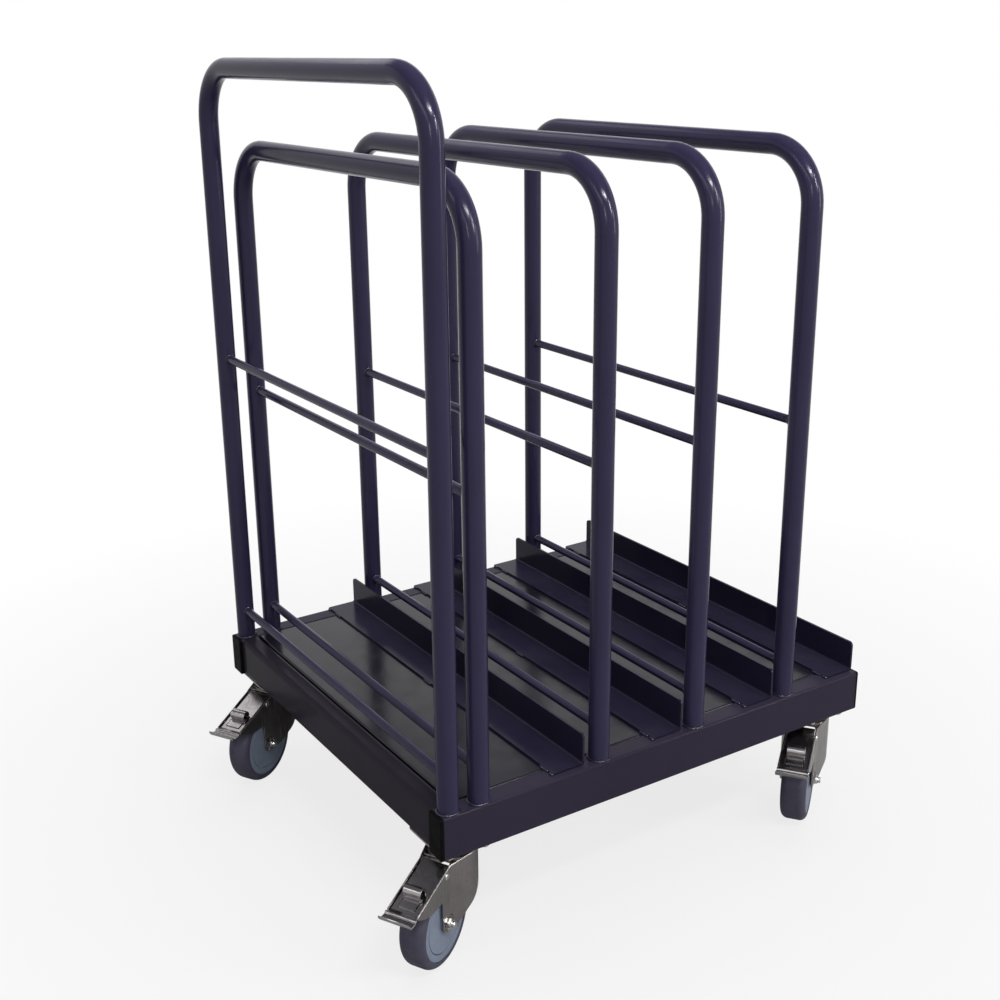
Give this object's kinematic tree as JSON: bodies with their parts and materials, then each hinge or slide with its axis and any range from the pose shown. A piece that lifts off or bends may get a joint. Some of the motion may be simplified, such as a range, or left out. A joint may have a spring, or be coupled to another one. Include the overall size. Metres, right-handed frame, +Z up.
{
  "type": "board cart",
  "caption": "Push cart for upright boards and panels, with a flat steel deck, bent tube dividers, angle stop rails, a tall push handle and braked swivel casters.",
  "frame": {"origin": "on the floor under the middle of the rectangular frame", "axes": "+X along the cart from the push handle to the other end, +Y across the cart to the far side of the picture, +Z up"},
  "size_m": [0.8123, 0.6942, 1.105],
  "materials": {
    "powder_coat": "semi-gloss anthracite powder coat",
    "cap_plastic": "matte black",
    "zinc_plate": "bright zinc plate",
    "ball_steel": "polished",
    "tread_rubber": "dark grey rubber",
    "hub_plastic": "blue-grey nylon"
  },
  "bodies": {
    "frame": {"side_member_near": "powder_coat", "side_member_far": "powder_coat", "end_member_push": "powder_coat", "end_member_rear": "powder_coat", "deck_sheet": "powder_coat", "deck_bearers": "powder_coat", "corner_plates": "powder_coat", "end_caps": "cap_plastic", "push_handle": "powder_coat", "divider_1": "powder_coat", "divider_2": "powder_coat", "divider_3": "powder_coat", "divider_4": "powder_coat", "lower_rods": "powder_coat", "middle_rods": "powder_coat", "stop_rail_1": "powder_coat", "stop_rail_2": "powder_coat", "stop_rail_3": "powder_coat", "stop_rail_4": "powder_coat", "caster_bolts": "zinc_plate", "caster_nuts": "zinc_plate", "kingpins": "zinc_plate", "race_balls": "ball_steel", "top_plate_near_push": "zinc_plate", "top_plate_far_push": "zinc_plate", "top_plate_near_rear": "zinc_plate", "top_plate_far_rear": "zinc_plate"},
    "swivel_near_push": {"fork_near_push": "zinc_plate", "axle_bolt_near_push": "zinc_plate", "axle_nut_near_push": "zinc_plate", "pedal_pin_near_push": "zinc_plate"},
    "wheel_near_push": {"tyre_near_push": "tread_rubber", "hub_near_push": "hub_plastic", "side_discs_near_push": "hub_plastic"},
    "pedal_near_push": {"brake_pedal_near_push": "zinc_plate"},
    "swivel_far_push": {"fork_far_push": "zinc_plate", "axle_bolt_far_push": "zinc_plate", "axle_nut_far_push": "zinc_plate", "pedal_pin_far_push": "zinc_plate"},
    "wheel_far_push": {"tyre_far_push": "tread_rubber", "hub_far_push": "hub_plastic", "side_discs_far_push": "hub_plastic"},
    "pedal_far_push": {"brake_pedal_far_push": "zinc_plate"},
    "swivel_near_rear": {"fork_near_rear": "zinc_plate", "axle_bolt_near_rear": "zinc_plate", "axle_nut_near_rear": "zinc_plate", "pedal_pin_near_rear": "zinc_plate"},
    "wheel_near_rear": {"tyre_near_rear": "tread_rubber", "hub_near_rear": "hub_plastic", "side_discs_near_rear": "hub_plastic"},
    "pedal_near_rear": {"brake_pedal_near_rear": "zinc_plate"},
    "swivel_far_rear": {"fork_far_rear": "zinc_plate", "axle_bolt_far_rear": "zinc_plate", "axle_nut_far_rear": "zinc_plate", "pedal_pin_far_rear": "zinc_plate"},
    "wheel_far_rear": {"tyre_far_rear": "tread_rubber", "hub_far_rear": "hub_plastic", "side_discs_far_rear": "hub_plastic"},
    "pedal_far_rear": {"brake_pedal_far_rear": "zinc_plate"}
  },
  "joints": [
    {"name": "swivel_near_push", "type": "hinge", "parent": "frame", "child": "swivel_near_push", "pos_m": [-0.313, -0.269, 0.143], "axis": [0, 0, 1], "continuous": true},
    {"name": "roll_near_push", "type": "hinge", "parent": "swivel_near_push", "child": "wheel_near_push", "pos_m": [-0.35804, -0.29397, 0.0625], "axis": [0.4848, -0.8746, 0], "continuous": true},
    {"name": "brake_near_push", "type": "hinge", "parent": "swivel_near_push", "child": "pedal_near_push", "pos_m": [-0.35979, -0.29494, 0.132], "axis": [0.4848, -0.8746, 0], "range_deg": [0, 10]},
    {"name": "swivel_far_push", "type": "hinge", "parent": "frame", "child": "swivel_far_push", "pos_m": [-0.313, 0.269, 0.143], "axis": [0, 0, 1], "continuous": true},
    {"name": "roll_far_push", "type": "hinge", "parent": "swivel_far_push", "child": "wheel_far_push", "pos_m": [-0.35737, 0.24286, 0.0625], "axis": [0.5075, -0.8616, 0], "continuous": true},
    {"name": "brake_far_push", "type": "hinge", "parent": "swivel_far_push", "child": "pedal_far_push", "pos_m": [-0.3591, 0.24185, 0.132], "axis": [0.5075, -0.8616, 0], "range_deg": [0, 10]},
    {"name": "swivel_near_rear", "type": "hinge", "parent": "frame", "child": "swivel_near_rear", "pos_m": [0.313, -0.269, 0.143], "axis": [0, 0, 1], "continuous": true},
    {"name": "roll_near_rear", "type": "hinge", "parent": "swivel_near_rear", "child": "wheel_near_rear", "pos_m": [0.2716, -0.29963, 0.0625], "axis": [0.5948, -0.8039, 0], "continuous": true},
    {"name": "brake_near_rear", "type": "hinge", "parent": "swivel_near_rear", "child": "pedal_near_rear", "pos_m": [0.26999, -0.30082, 0.132], "axis": [0.5948, -0.8039, 0], "range_deg": [0, 10]},
    {"name": "swivel_far_rear", "type": "hinge", "parent": "frame", "child": "swivel_far_rear", "pos_m": [0.313, 0.269, 0.143], "axis": [0, 0, 1], "continuous": true},
    {"name": "roll_far_rear", "type": "hinge", "parent": "swivel_far_rear", "child": "wheel_far_rear", "pos_m": [0.26981, 0.24095, 0.0625], "axis": [0.5446, -0.8387, 0], "continuous": true},
    {"name": "brake_far_rear", "type": "hinge", "parent": "swivel_far_rear", "child": "pedal_far_rear", "pos_m": [0.26813, 0.23986, 0.132], "axis": [0.5446, -0.8387, 0], "range_deg": [0, 10]}
  ]
}
